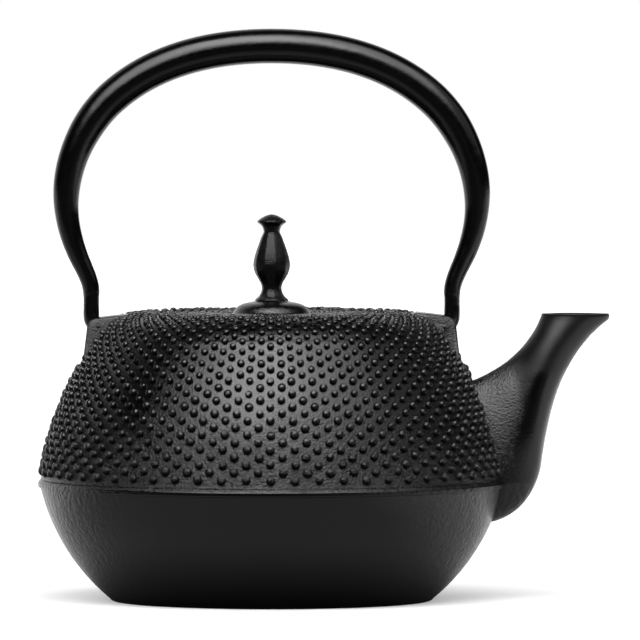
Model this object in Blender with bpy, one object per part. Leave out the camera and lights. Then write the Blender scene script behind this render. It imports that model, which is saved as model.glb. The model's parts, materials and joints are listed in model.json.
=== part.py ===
"""Cast iron teapot with a hobnail shoulder, a bail handle, a knobbed lid and a steel tea infuser.

Metres, +Z up. The origin is the centre of the flat base, and the spout points along +X.
The pot is one iron casting: bowl, belly flange, shoulder, spout and the two handle lugs.
"""

import math

import bmesh
import bpy
from mathutils import Matrix, Vector
from mathutils.geometry import interpolate_bezier

# ---- driving dimensions ----

# Pot casting, as (radius, height) points of its outer line
BASE_RADIUS = 0.0612
BASE_EDGE = (0.0626, 0.0009)
BOWL_TOP = (0.0893, 0.0437)
FLANGE_RADIUS = 0.0902
FLANGE_BOTTOM = 0.0441
FLANGE_TOP = 0.0467
WALL_FOOT = (0.0890, 0.0470)
WALL_TOP = (0.0742, 0.0905)
SHOULDER_TURN = (0.0668, 0.1030)
SHOULDER_TOP = (0.0545, 0.1108)
CROWN_EDGE = (0.0446, 0.1111)
BOWL_BULGE = 0.0041
WALL_BULGE = 0.0017
SHOULDER_BULGE = 0.0004
SHOULDER_TURN_BULGE = 0.0013
CROWN_BULGE = 0.0003
POT_WALL = 0.0036
POT_FLOOR = 0.0042

# Mouth: a sunk seat for the infuser and the lid, over a throat that hangs into the pot
SEAT_HEIGHT = 0.1074
THROAT_RADIUS = 0.0395
THROAT_BOTTOM = 0.1036
THROAT_THICKNESS = 0.0045

# Spout, as Bezier points in the plane of the handle: its upper line and its two-part lower line
SPOUT_UPPER = ((0.0720, 0.0834), (0.0880, 0.0874), (0.0988, 0.0967), (0.1042, 0.1103))
SPOUT_BELLY = ((0.0770, 0.0293), (0.0946, 0.0291), (0.1014, 0.0407), (0.1040, 0.0515))
SPOUT_NECK = ((0.1040, 0.0515), (0.1070, 0.0740), (0.1112, 0.0945), (0.1300, 0.1092))
SPOUT_MOUTH_HEIGHT = 0.1103
SPOUT_ROOT_HALF_WIDTH = 0.0118
SPOUT_MOUTH_HALF_WIDTH = 0.0096
SPOUT_EGG = 0.16
SPOUT_WALL = 0.0027

# Handle lugs: two cheeks that close the corner between shoulder and wall, with a pocket between them
LUG_HALF_WIDTH = 0.0100
REAR_LUG_TOP = 0.1092
FRONT_LUG_TOP = 0.1100
LUG_CORNER_RADIUS = 0.0040
LUG_SHOULDER_X = 0.0560
LUG_RISE = 0.0013
LUG_ROOT_X = 0.0500
LUG_OUTER_TOP = 0.0711
LUG_OUTER_FOOT = 0.0731
LUG_EDGE_ROUND = 0.0007
POCKET_INNER = 0.0657
POCKET_FLOOR_RADIUS = 0.0035
POCKET_MOUTH_HALF_WIDTH = 0.0069
LUG_BORE_RADIUS = 0.0030
LUG_BORE_END = 0.0613
BORE_BOSS_RADIUS = 0.0041
BORE_BOSS_INNER = 0.0578
BORE_BOSS_OUTER = 0.0651

# Bail handle: a tapering round bar, whose inturned ends pivot in the lug bores
PIVOT_HEIGHT = 0.1052
HOOK_END = 0.0618
HOOK_END_RADIUS = 0.0025
HOOK_BEND = 0.0042
LEG_X = 0.0696
LEG_TOP = 0.1175
LEG_RADIUS = 0.0030
FLARE_POINT = (0.0746, 0.1330)
BOW_SIDE = (0.0793, 0.1545)
BOW_UPPER_SIDE = (0.0738, 0.1775)
BOW_SHOULDER = (0.0615, 0.1941)
BOW_TOP = 0.2139
FLARE_RADIUS = 0.0038
BOW_SIDE_RADIUS = 0.0049
BOW_UPPER_SIDE_RADIUS = 0.0060
BOW_SHOULDER_RADIUS = 0.0066
BOW_TOP_RADIUS = 0.0067

# Lid: its dome, the smooth boss under the knob, and the skirt that centres it in the mouth
LID_RADIUS = 0.0441
LID_UNDERSIDE = 0.1086
LID_EDGE_TOP = 0.1109
LID_DOME_TOP = 0.1117
BOSS_FOOT_RADIUS = 0.0158
BOSS_RADIUS = 0.0113
BOSS_EDGE_HEIGHT = 0.1144
BOSS_TOP = 0.1153
SKIRT_OUTER_RADIUS = 0.0380
SKIRT_INNER_RADIUS = 0.0354
SKIRT_BOTTOM = 0.1036
RIVET_HOLE_RADIUS = 0.0023
VENT_RADIUS = 0.0014
VENT_OFFSET = 0.0109

# Knob: ten-sided and pear-shaped, under a pointed cap
KNOB_SIDES = 10
KNOB_CLOCKING = math.radians(-4.0)
KNOB_FOOT = (0.0065, 0.1156)
KNOB_LOWER_NECK = (0.0038, 0.1204)
KNOB_BELLY = (0.0072, 0.1293)
KNOB_UPPER_NECK = (0.0029, 0.1424)
KNOB_CAP_EDGE = (0.0057, 0.1460)
KNOB_TOP = 0.1490
KNOB_BORE_TOP = 0.1235

# Rivet and washer that hold the knob
GAP = 0.0003
RIVET_RADIUS = 0.0020
RIVET_HEAD_RADIUS = 0.0040
RIVET_HEAD_THICKNESS = 0.0015
WASHER_RADIUS = 0.0065
WASHER_THICKNESS = 0.0008

# Infuser: a pressed rim, a tapering mesh wall and a mesh floor, all of thin steel
SHEET = 0.0005
RIM_RADIUS = 0.0438
RIM_COLLAR_RADIUS = 0.0391
RIM_COLLAR_BOTTOM = 0.0980
MESH_TOP = 0.1025
MESH_BOTTOM = 0.0600
MESH_BOTTOM_RADIUS = 0.0330
FLOOR_LIP = 0.0022

# Facets
POT_SIDES = 52
LID_SIDES = 48
SMALL_SIDES = 24
SPOUT_STATIONS = 14
SPOUT_SIDES = 20


# ---- shape helpers ----

def clear_scene():
    for obj in list(bpy.data.objects):
        bpy.data.objects.remove(obj)


def arc(start, end, bulge, steps):
    """Points of a circular arc from start to end, both included, standing bulge to the right of its chord."""
    chord = Vector(end) - Vector(start)
    half = chord.length / 2
    radius = (half * half + bulge * bulge) / (2 * bulge)
    side = Vector((chord.y, -chord.x)).normalized()
    centre = (Vector(start) + Vector(end)) / 2 + side * (bulge - radius)
    first = Vector(start) - centre
    turn = 2 * math.asin(half / radius)
    points = []
    for step in range(steps + 1):
        angle = turn * step / steps
        points.append(centre + Matrix.Rotation(angle, 2) @ first)
    return points


def inset(points, distance):
    """The line moved distance to the left of its direction of travel."""
    moved = []
    for i, point in enumerate(points):
        before = points[max(i - 1, 0)]
        after = points[min(i + 1, len(points) - 1)]
        along = (Vector(after) - Vector(before)).normalized()
        moved.append(Vector(point) + Vector((-along.y, along.x)) * distance)
    return moved


def new_object(name, bm, material=None):
    bmesh.ops.recalc_face_normals(bm, faces=bm.faces)
    mesh = bpy.data.meshes.new(name)
    bm.to_mesh(mesh)
    bm.free()
    mesh.shade_smooth()
    mesh.set_sharp_from_angle(angle=math.radians(35))
    obj = bpy.data.objects.new(name, mesh)
    bpy.context.scene.collection.objects.link(obj)
    if material:
        mesh.materials.append(material)
    return obj


def turned(name, outline, sides, material=None, closed=False, clocking=0.0):
    """Spins (radius, height) points about Z. An open outline starts and ends on the axis; a closed one is a ring."""
    bm = bmesh.new()
    verts = [bm.verts.new((point[0], 0, point[1])) for point in outline]
    pairs = list(zip(verts, verts[1:]))
    if closed:
        pairs.append((verts[-1], verts[0]))
    edges = [bm.edges.new(pair) for pair in pairs]
    bmesh.ops.spin(
        bm, geom=verts + edges, axis=(0, 0, 1), cent=(0, 0, 0), steps=sides, angle=math.tau, use_merge=True
    )
    bmesh.ops.remove_doubles(bm, verts=bm.verts, dist=1e-6)
    bmesh.ops.rotate(bm, verts=bm.verts, cent=(0, 0, 0), matrix=Matrix.Rotation(clocking, 3, "Z"))
    return new_object(name, bm, material)


def prism(name, outline, normal_axis, start, end):
    """Extrudes a flat outline along X, or along Y, from start to end."""
    bm = bmesh.new()
    if normal_axis == "X":
        corners = [(start, point[0], point[1]) for point in outline]
        travel = (end - start, 0, 0)
    else:
        corners = [(point[0], start, point[1]) for point in outline]
        travel = (0, end - start, 0)
    face = bm.faces.new([bm.verts.new(corner) for corner in corners])
    swept = bmesh.ops.extrude_face_region(bm, geom=[face], use_keep_orig=True)
    moved = [item for item in swept["geom"] if isinstance(item, bmesh.types.BMVert)]
    bmesh.ops.translate(bm, vec=travel, verts=moved)
    return new_object(name, bm)


def rod(name, radius, start, end, sides=SMALL_SIDES):
    """A plain cylinder between two points."""
    along = Vector(end) - Vector(start)
    bm = bmesh.new()
    bmesh.ops.create_cone(
        bm, cap_ends=True, segments=sides, radius1=radius, radius2=radius, depth=along.length
    )
    obj = new_object(name, bm)
    obj.location = (Vector(start) + Vector(end)) / 2
    obj.rotation_mode = "QUATERNION"
    obj.rotation_quaternion = along.to_track_quat("Z", "Y")
    return obj


def helper(obj):
    """Marks a cutter or a form that is joined to another object, so that it isn't a piece of its own."""
    obj.hide_render = True
    obj.display_type = "WIRE"
    return obj


def combine(obj, other, operation):
    modifier = obj.modifiers.new(f"{operation.lower()} {other.name}", "BOOLEAN")
    modifier.operation = operation
    modifier.solver = "EXACT"
    modifier.object = helper(other)


def coated_metal(name, colour, roughness, metallic):
    material = bpy.data.materials.new(name)
    material.use_nodes = True
    shader = material.node_tree.nodes["Principled BSDF"]
    shader.inputs["Base Color"].default_value = (*colour, 1)
    shader.inputs["Roughness"].default_value = roughness
    shader.inputs["Metallic"].default_value = metallic
    return material


# ---- pot casting ----

def pot_skin():
    """The outer line of bowl and shoulder without the flange, from the base edge up to the mouth."""
    bowl = arc(BASE_EDGE, BOWL_TOP, BOWL_BULGE, 8)
    wall = arc(WALL_FOOT, WALL_TOP, WALL_BULGE, 6)
    shoulder = arc(WALL_TOP, SHOULDER_TURN, SHOULDER_BULGE, 3)[1:]
    turn = arc(SHOULDER_TURN, SHOULDER_TOP, SHOULDER_TURN_BULGE, 5)[1:]
    crown = arc(SHOULDER_TOP, CROWN_EDGE, CROWN_BULGE, 2)[1:]
    return bowl, wall + shoulder + turn + crown


def pot_outline():
    bowl, upper = pot_skin()
    flange = [
        (FLANGE_RADIUS - 0.0004, FLANGE_BOTTOM - 0.0003),
        (FLANGE_RADIUS, FLANGE_BOTTOM + 0.0003),
        (FLANGE_RADIUS, FLANGE_TOP - 0.0004),
        (FLANGE_RADIUS - 0.0004, FLANGE_TOP),
    ]
    seat = [(CROWN_EDGE[0], SEAT_HEIGHT), (0, SEAT_HEIGHT)]
    return [(0, 0), (BASE_RADIUS, 0), *bowl, *flange, *upper, *seat]


def cavity_outline():
    bowl, upper = pot_skin()
    throat_outer = THROAT_RADIUS + THROAT_THICKNESS
    bowl_inside = inset(bowl, POT_WALL)
    below_throat = [point for point in inset(upper, POT_WALL) if point[0] > throat_outer + 0.004]
    floor_edge = (BASE_RADIUS - POT_WALL / 2, POT_FLOOR)
    raised = [point for point in bowl_inside if point[1] > POT_FLOOR + 0.001]
    throat = [
        (throat_outer, THROAT_BOTTOM),
        (THROAT_RADIUS, THROAT_BOTTOM),
        (THROAT_RADIUS, SEAT_HEIGHT + 0.002),
        (0, SEAT_HEIGHT + 0.002),
    ]
    return [(0, POT_FLOOR), floor_edge, *raised, *below_throat, *throat]


def spout_lines():
    """Matching points of the spout's lower and upper lines, from its root to its mouth."""
    belly = interpolate_bezier(*map(Vector, SPOUT_BELLY), SPOUT_STATIONS // 2)
    neck = interpolate_bezier(*map(Vector, SPOUT_NECK), SPOUT_STATIONS // 2 + 1)[1:]
    lower = belly + neck
    upper = interpolate_bezier(*map(Vector, SPOUT_UPPER), len(lower))
    return lower, upper


def spout_form(name, wall):
    """The spout as a loft of egg-shaped sections, drawn in by wall for its passage."""
    lower, upper = spout_lines()
    stations = [(low, high, i / (len(lower) - 1)) for i, (low, high) in enumerate(zip(lower, upper))]
    lip = (Vector((SPOUT_NECK[-1][0], SPOUT_MOUTH_HEIGHT)), Vector(upper[-1]), 1.0)
    stations.append(lip)
    if wall:
        past = Vector((0.0012, 0.0030))
        stations.append((lip[0] + past, lip[1] + past, 1.0))
    bm = bmesh.new()
    rings = []
    for low, high, share in stations:
        centre = (low + high) / 2
        reach = (high - low) / 2
        reach = reach.normalized() * (reach.length - wall)
        width = SPOUT_ROOT_HALF_WIDTH + (SPOUT_MOUTH_HALF_WIDTH - SPOUT_ROOT_HALF_WIDTH) * share - wall
        ring = []
        for side in range(SPOUT_SIDES):
            angle = math.tau * side / SPOUT_SIDES
            egg = 1 - SPOUT_EGG * (1 - share) * math.cos(angle)
            x, z = centre + reach * math.cos(angle)
            ring.append(bm.verts.new((x, width * egg * math.sin(angle), z)))
        rings.append(ring)
    for ring, after in zip(rings, rings[1:]):
        for i in range(SPOUT_SIDES):
            j = (i + 1) % SPOUT_SIDES
            bm.faces.new((ring[i], ring[j], after[j], after[i]))
    bm.faces.new(rings[0])
    bm.faces.new(rings[-1])
    return new_object(name, bm)


def lug_form(name, side, top):
    """One lug block, seen along Y: sloping top, rounded corner, and an outer edge that runs down into the wall."""
    corner_top = (LUG_OUTER_TOP - LUG_CORNER_RADIUS, top)
    corner_side = (LUG_OUTER_TOP, top - LUG_CORNER_RADIUS)
    bulge = LUG_CORNER_RADIUS * (1 - math.cos(math.radians(45)))
    corner = arc(corner_side, corner_top, bulge, 4)
    buried = [(LUG_SHOULDER_X, top + LUG_RISE), (LUG_ROOT_X, top), (LUG_ROOT_X, 0.0985)]
    outline = [(LUG_OUTER_FOOT, 0.0880), *corner, *buried]
    mirrored = [(side * point[0], point[1]) for point in outline]
    lug = prism(name, mirrored, "Y", -LUG_HALF_WIDTH, LUG_HALF_WIDTH)
    bevel = lug.modifiers.new("rounded edges", "BEVEL")
    bevel.width = LUG_EDGE_ROUND
    bevel.segments = 1
    bevel.limit_method = "ANGLE"
    bevel.angle_limit = math.radians(60)
    return lug


def pocket_cutter(name, side):
    """The pocket between a lug's cheeks: round-bottomed about the pivot and flaring upwards, so the leg can rock."""
    outline = []
    for step in range(9):
        angle = math.pi + math.pi * step / 8
        outline.append(
            (POCKET_FLOOR_RADIUS * math.cos(angle), PIVOT_HEIGHT + POCKET_FLOOR_RADIUS * math.sin(angle))
        )
    mouth = PIVOT_HEIGHT + 0.0063
    outline += [(POCKET_MOUTH_HALF_WIDTH, mouth), (-POCKET_MOUTH_HALF_WIDTH, mouth)]
    return prism(name, outline, "X", side * POCKET_INNER, side * (LUG_OUTER_FOOT + 0.004))


def build_pot(material):
    pot = turned("pot_casting", pot_outline(), POT_SIDES, material)
    combine(pot, spout_form("spout_form", 0.0), "UNION")
    combine(pot, lug_form("rear_lug_form", -1, REAR_LUG_TOP), "UNION")
    combine(pot, lug_form("front_lug_form", 1, FRONT_LUG_TOP), "UNION")
    combine(pot, turned("cavity_cutter", cavity_outline(), POT_SIDES), "DIFFERENCE")
    for side, word in ((-1, "rear"), (1, "front")):
        boss_start = (side * BORE_BOSS_INNER, 0, PIVOT_HEIGHT)
        boss_end = (side * BORE_BOSS_OUTER, 0, PIVOT_HEIGHT)
        combine(pot, rod(f"{word}_boss_form", BORE_BOSS_RADIUS, boss_start, boss_end), "UNION")
    combine(pot, spout_form("passage_cutter", SPOUT_WALL), "DIFFERENCE")
    for side, word in ((-1, "rear"), (1, "front")):
        combine(pot, pocket_cutter(f"{word}_pocket_cutter", side), "DIFFERENCE")
        bore_start = (side * LUG_BORE_END, 0, PIVOT_HEIGHT)
        bore_end = (side * (POCKET_INNER + 0.001), 0, PIVOT_HEIGHT)
        combine(pot, rod(f"{word}_bore_cutter", LUG_BORE_RADIUS, bore_start, bore_end), "DIFFERENCE")
    return pot


# ---- handle ----

def handle_anchors():
    """Half the bail's centre line, from hook end to crown: point, direction, reach before and after, radius."""
    bend = HOOK_BEND * 0.5523
    inward = (1.0, 0.0)
    upward = (0.0, 1.0)
    return [
        ((HOOK_END, PIVOT_HEIGHT), inward, 0.001, 0.001, HOOK_END_RADIUS),
        ((LEG_X - HOOK_BEND, PIVOT_HEIGHT), inward, 0.001, bend, HOOK_END_RADIUS),
        ((LEG_X, PIVOT_HEIGHT + HOOK_BEND), upward, bend, 0.002, LEG_RADIUS),
        ((LEG_X, LEG_TOP), upward, 0.002, 0.0055, LEG_RADIUS),
        (FLARE_POINT, (0.39, 0.92), 0.0055, 0.0074, FLARE_RADIUS),
        (BOW_SIDE, upward, 0.0074, 0.0079, BOW_SIDE_RADIUS),
        (BOW_UPPER_SIDE, (-0.44, 0.90), 0.0079, 0.0070, BOW_UPPER_SIDE_RADIUS),
        (BOW_SHOULDER, (-0.744, 0.668), 0.0070, 0.0205, BOW_SHOULDER_RADIUS),
        ((0, BOW_TOP), (-1.0, 0.0), 0.0250, 0.0250, BOW_TOP_RADIUS),
    ]


def build_handle(material):
    """A Bezier curve with a round bevel. Its origin is on the pivot axis, midway between the lugs."""
    half = handle_anchors()
    other_half = [
        ((-point[0], point[1]), (direction[0], -direction[1]), after, before, radius)
        for point, direction, before, after, radius in half[-2::-1]
    ]
    anchors = half + other_half
    curve = bpy.data.curves.new("handle", "CURVE")
    curve.dimensions = "3D"
    curve.resolution_u = 5
    curve.bevel_depth = 1.0
    curve.bevel_resolution = 2
    curve.use_fill_caps = True
    curve.materials.append(material)
    spline = curve.splines.new("BEZIER")
    spline.bezier_points.add(len(anchors) - 1)
    spline.radius_interpolation = "CARDINAL"
    for anchor, (point, direction, before, after, radius) in zip(spline.bezier_points, anchors):
        centre = Vector((point[0], 0, point[1] - PIVOT_HEIGHT))
        travel = Vector((direction[0], 0, direction[1])).normalized()
        anchor.handle_left_type = "FREE"
        anchor.handle_right_type = "FREE"
        anchor.co = centre
        anchor.handle_left = centre - travel * before
        anchor.handle_right = centre + travel * after
        anchor.radius = radius
    handle = bpy.data.objects.new("handle", curve)
    handle.location = (0, 0, PIVOT_HEIGHT)
    bpy.context.scene.collection.objects.link(handle)
    return handle


# ---- lid, knob and their rivet ----

def build_lid(material):
    dome = arc((LID_RADIUS, LID_EDGE_TOP), (BOSS_FOOT_RADIUS, LID_DOME_TOP), 0.0003, 4)
    outline = [
        (RIVET_HOLE_RADIUS, LID_UNDERSIDE),
        (SKIRT_INNER_RADIUS, LID_UNDERSIDE),
        (SKIRT_INNER_RADIUS, SKIRT_BOTTOM),
        (SKIRT_OUTER_RADIUS, SKIRT_BOTTOM),
        (SKIRT_OUTER_RADIUS, LID_UNDERSIDE),
        (LID_RADIUS, LID_UNDERSIDE),
        *dome,
        (BOSS_RADIUS, BOSS_EDGE_HEIGHT),
        (KNOB_FOOT[0], BOSS_TOP),
        (RIVET_HOLE_RADIUS, BOSS_TOP),
    ]
    lid = turned("lid", outline, LID_SIDES, material, closed=True)
    vent = rod(
        "vent_cutter", VENT_RADIUS, (0, VENT_OFFSET, LID_UNDERSIDE - 0.002), (0, VENT_OFFSET, BOSS_TOP + 0.002), 12
    )
    combine(lid, vent, "DIFFERENCE")
    return lid


def build_knob(material):
    """Each stretch is an arc between two turning points: hollow at the necks, full at the belly."""
    flare = arc(KNOB_FOOT, KNOB_LOWER_NECK, -0.0007, 3)
    lower_belly = arc(KNOB_LOWER_NECK, KNOB_BELLY, 0.0006, 4)[1:]
    upper_belly = arc(KNOB_BELLY, KNOB_UPPER_NECK, 0.0008, 4)[1:]
    cap_underside = arc(KNOB_UPPER_NECK, KNOB_CAP_EDGE, -0.0005, 2)[1:]
    bore = RIVET_RADIUS + GAP
    outline = [
        (0, KNOB_BORE_TOP),
        (bore, KNOB_BORE_TOP),
        (bore, KNOB_FOOT[1]),
        *flare,
        *lower_belly,
        *upper_belly,
        *cap_underside,
        (KNOB_CAP_EDGE[0] * 0.42, KNOB_CAP_EDGE[1] + 0.0022),
        (0, KNOB_TOP),
    ]
    return turned("lid_knob", outline, KNOB_SIDES, material, clocking=KNOB_CLOCKING)


def build_washer(material):
    top = LID_UNDERSIDE - GAP
    bottom = top - WASHER_THICKNESS
    hole = RIVET_RADIUS + GAP
    outline = [(hole, bottom), (WASHER_RADIUS, bottom), (WASHER_RADIUS, top), (hole, top)]
    return turned("knob_washer", outline, SMALL_SIDES, material, closed=True)


def build_rivet(material):
    head_top = LID_UNDERSIDE - GAP - WASHER_THICKNESS - GAP
    head = arc((0, head_top - RIVET_HEAD_THICKNESS), (RIVET_HEAD_RADIUS, head_top), 0.0005, 4)
    shank_top = KNOB_BORE_TOP - GAP
    outline = [*head, (RIVET_RADIUS, head_top), (RIVET_RADIUS, shank_top), (0, shank_top)]
    return turned("knob_rivet", outline, SMALL_SIDES, material)


# ---- infuser ----

def build_infuser_rim(material):
    flange_bottom = SEAT_HEIGHT + GAP
    flange_top = flange_bottom + SHEET
    collar_inside = RIM_COLLAR_RADIUS - SHEET
    outline = [
        (collar_inside, RIM_COLLAR_BOTTOM),
        (RIM_COLLAR_RADIUS, RIM_COLLAR_BOTTOM),
        (RIM_COLLAR_RADIUS, flange_bottom),
        (RIM_RADIUS, flange_bottom),
        (RIM_RADIUS, flange_top),
        (collar_inside, flange_top),
    ]
    return turned("infuser_rim", outline, LID_SIDES, material, closed=True)


def build_infuser_wall(material):
    top_radius = RIM_COLLAR_RADIUS - SHEET - GAP
    outline = [
        (MESH_BOTTOM_RADIUS - SHEET, MESH_BOTTOM),
        (MESH_BOTTOM_RADIUS, MESH_BOTTOM),
        (top_radius, RIM_COLLAR_BOTTOM - 0.0015),
        (top_radius, MESH_TOP),
        (top_radius - SHEET, MESH_TOP),
        (top_radius - SHEET, RIM_COLLAR_BOTTOM - 0.0015),
    ]
    return turned("infuser_wall", outline, LID_SIDES, material, closed=True)


def build_infuser_floor(material):
    """A shallow dish whose upturned lip wraps the foot of the wall."""
    underside = MESH_BOTTOM - GAP - SHEET
    inside = MESH_BOTTOM_RADIUS + GAP + 0.0003
    outside = inside + SHEET
    lip_top = underside + FLOOR_LIP
    outline = [
        (0, underside),
        (outside, underside),
        (outside, lip_top),
        (inside, lip_top),
        (inside, underside + SHEET),
        (0, underside + SHEET),
    ]
    return turned("infuser_floor", outline, LID_SIDES, material)


def main():
    clear_scene()
    iron = coated_metal("lacquered_cast_iron", (0.018, 0.018, 0.019), 0.42, 0.3)
    bar = coated_metal("lacquered_bar", (0.012, 0.012, 0.013), 0.36, 0.3)
    rivet_steel = coated_metal("blackened_steel", (0.10, 0.10, 0.10), 0.45, 0.9)
    stainless = coated_metal("stainless_steel", (0.62, 0.62, 0.61), 0.28, 1.0)
    build_pot(iron)
    build_handle(bar)
    build_lid(iron)
    build_knob(iron)
    build_washer(rivet_steel)
    build_rivet(rivet_steel)
    build_infuser_rim(stainless)
    build_infuser_wall(stainless)
    build_infuser_floor(stainless)


main()
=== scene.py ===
"""Looks of the cast iron teapot: hobnailed casting, bail, lid, knob and steel infuser, and the studio.

Metres, +Z up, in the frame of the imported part: the base stands on z = 0 and the spout points along +X.
"""

import json
import math
import random

import bmesh
import bpy
import numpy as np
from mathutils import Matrix, Vector, noise
from mathutils.geometry import interpolate_bezier


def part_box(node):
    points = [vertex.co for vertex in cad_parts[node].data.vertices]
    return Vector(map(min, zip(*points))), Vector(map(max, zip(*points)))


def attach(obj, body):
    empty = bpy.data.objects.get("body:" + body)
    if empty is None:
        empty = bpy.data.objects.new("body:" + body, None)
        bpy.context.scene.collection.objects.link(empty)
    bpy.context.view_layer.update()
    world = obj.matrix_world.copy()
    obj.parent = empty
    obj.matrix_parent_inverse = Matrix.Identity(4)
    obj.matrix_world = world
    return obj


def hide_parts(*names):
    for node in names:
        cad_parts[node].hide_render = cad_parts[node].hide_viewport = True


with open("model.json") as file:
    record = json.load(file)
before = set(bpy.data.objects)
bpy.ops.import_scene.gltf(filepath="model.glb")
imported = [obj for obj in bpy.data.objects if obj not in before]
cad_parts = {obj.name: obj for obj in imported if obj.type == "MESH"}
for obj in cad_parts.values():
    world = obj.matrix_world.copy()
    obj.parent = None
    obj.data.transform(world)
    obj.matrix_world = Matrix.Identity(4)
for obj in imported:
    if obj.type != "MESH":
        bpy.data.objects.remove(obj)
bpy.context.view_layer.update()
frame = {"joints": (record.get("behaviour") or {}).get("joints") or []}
random.seed(7)

# ---- sizes that come from the frame ----

POT_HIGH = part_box("pot_casting")[1]
HANDLE_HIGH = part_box("handle")[1]
LID_LOW, LID_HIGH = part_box("lid")
KNOB_LOW, KNOB_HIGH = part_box("lid_knob")
RIVET_LOW, RIVET_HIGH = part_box("knob_rivet")
WASHER_LOW, WASHER_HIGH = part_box("knob_washer")
RIM_LOW, RIM_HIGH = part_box("infuser_rim")
WALL_LOW, WALL_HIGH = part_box("infuser_wall")
FLOOR_LOW, FLOOR_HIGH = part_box("infuser_floor")
PIVOT_HEIGHT = next(j["pos_m"][2] for j in frame["joints"] if j["name"] == "handle_swing")

# ---- sizes of the casting ----

FLANGE_RADIUS = POT_HIGH[1]
FLANGE_TOP = 0.0469
BASE_RADIUS = 0.0612
BASE_EDGE_HEIGHT = 0.0009
BOWL_TOP_HEIGHT = 0.0437
BOWL_CENTRE = (0.0119, 0.0623)
BOWL_RADIUS = 0.0796
WALL_FOOT_HEIGHT = 0.0478
WALL_CENTRE = (-0.0580, 0.0204)
WALL_RADIUS = 0.1496
SHOULDER_CENTRE = (0.04975, 0.0904)
SHOULDER_RADIUS = 0.0209
SHOULDER_START = math.radians(33.15)
SHOULDER_END = math.radians(89)
CROWN_SAG = 0.0005
CROWN_EDGE = ((0.0474, 0.1106), (0.0452, 0.1103))
MOUTH_RADIUS = 0.0446
MOUTH_HEIGHT = 0.1102
SEAT_HEIGHT = 0.1074
THROAT_RADIUS = 0.0395
THROAT_THICKNESS = 0.0045
THROAT_BOTTOM = 0.1036
POT_WALL = 0.0036
POT_FLOOR = 0.0042

SPOUT_UPPER = ((0.0720, 0.0834), (0.0880, 0.0874), (0.0988, 0.0967), (0.1042, 0.1103))
SPOUT_BELLY = ((0.0770, 0.0293), (0.0946, 0.0291), (0.1014, 0.0407), (0.1040, 0.0515))
SPOUT_NECK = ((0.1040, 0.0515), (0.1070, 0.0740), (0.1112, 0.0940), (0.1300, 0.1085))
SPOUT_LIP = (0.1304, 0.1097)
SPOUT_MOUTH_HEIGHT = 0.1107
SPOUT_ROOT_HALF_WIDTH = 0.0118
SPOUT_MOUTH_HALF_WIDTH = 0.0096
SPOUT_EGG = 0.24
SPOUT_MOUTH_EGG = 0.12
SPOUT_WALL = 0.0027
PASSAGE_OVERRUN = (0.0012, 0.0030)

LUG_HALF_WIDTH = 0.0100
LUG_DRAFT = 0.17
REAR_LUG_TOP = 0.1092
FRONT_LUG_TOP = 0.1100
LUG_CORNER_RADIUS = 0.0040
LUG_OUTER_TOP = 0.0711
LUG_OUTER_FOOT = (0.0731, 0.0880)
LUG_SHOULDER = (0.0560, 0.0013)
LUG_ROOT = (0.0500, 0.0985)
LUG_EDGE = 0.0008
NUB_RADIUS = 0.0008
NUB_X = 0.0667
NUB_RISE = 0.0006
NUB_STANDOFF = 0.0003
POCKET_INNER = 0.0657
POCKET_FLOOR_RADIUS = 0.0035
POCKET_MOUTH_HALF_WIDTH = 0.0069
POCKET_FLARE_HEIGHT = 0.0063
BORE_RADIUS = 0.0030
BORE_END = 0.0613
BORE_BOSS_RADIUS = 0.0041
BORE_BOSS_INNER = 0.0578
BORE_BOSS_OUTER = 0.0651

# ---- hobnails ----

POT_DOTS = 60
LID_DOTS = 40
ROW_PITCH = 0.32
DOT_RADIUS = 0.196
CROWN_DOT_RADIUS = 0.225
DOT_HEIGHT = 1.12
CROWN_DOT_HEIGHT = 0.95
MOST_DOT_HEIGHT = 0.00178
FIRST_ROW_RISE = 0.0022
SMALL_DOT_RADIUS = 0.00117
# Each ring of a dot: its share of the dot's radius, of its height, and of the way that its top leans
SMALL_DOT = ((1.0, 0.0, 0.0), (0.76, 0.76, 0.6))
BIG_DOT = ((1.0, 0.0, 0.0), (0.94, 0.50, 0.4), (0.64, 0.87, 0.8))
# Dots change from the crown's to the wall's between these radii, and are more varied on the crown.
CROWN_TO_WALL = (0.050, 0.065)
CROWN_DOT_SPREAD = 1.7
# The tops of the lowest dots lean up, by this share of the spacing, and less so up to the second height.
DROOP_HEIGHTS = (0.050, 0.080)
MOST_DROOP = 0.040
SIDE_STEPS = 3
EDGE_STEPS = 4
# A cell's vertices stand at sixths of a column along its sides and at quarters along a straight edge.
COLUMN_PARTS = 12


class Skin:
    """A surface of revolution, as a line of (radius, height) points that is followed by its length."""

    def __init__(self, points):
        self.points = np.array([tuple(point) for point in points])
        steps = np.linalg.norm(np.diff(self.points, axis=0), axis=1)
        self.along = np.concatenate([[0.0], np.cumsum(steps)])
        self.length = float(self.along[-1])
        travel = np.gradient(self.points, self.along, axis=0)
        travel /= np.linalg.norm(travel, axis=1)[:, None]
        self.normals = np.stack([travel[:, 1], -travel[:, 0]], axis=1)

    def at(self, s):
        r = float(np.interp(s, self.along, self.points[:, 0]))
        z = float(np.interp(s, self.along, self.points[:, 1]))
        return r, z

    def place(self, angle, s, lift=0.0):
        r, z = self.at(s)
        if lift:
            r += lift * float(np.interp(s, self.along, self.normals[:, 0]))
            z += lift * float(np.interp(s, self.along, self.normals[:, 1]))
        return Vector((r * math.cos(angle), r * math.sin(angle), z))


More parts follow.
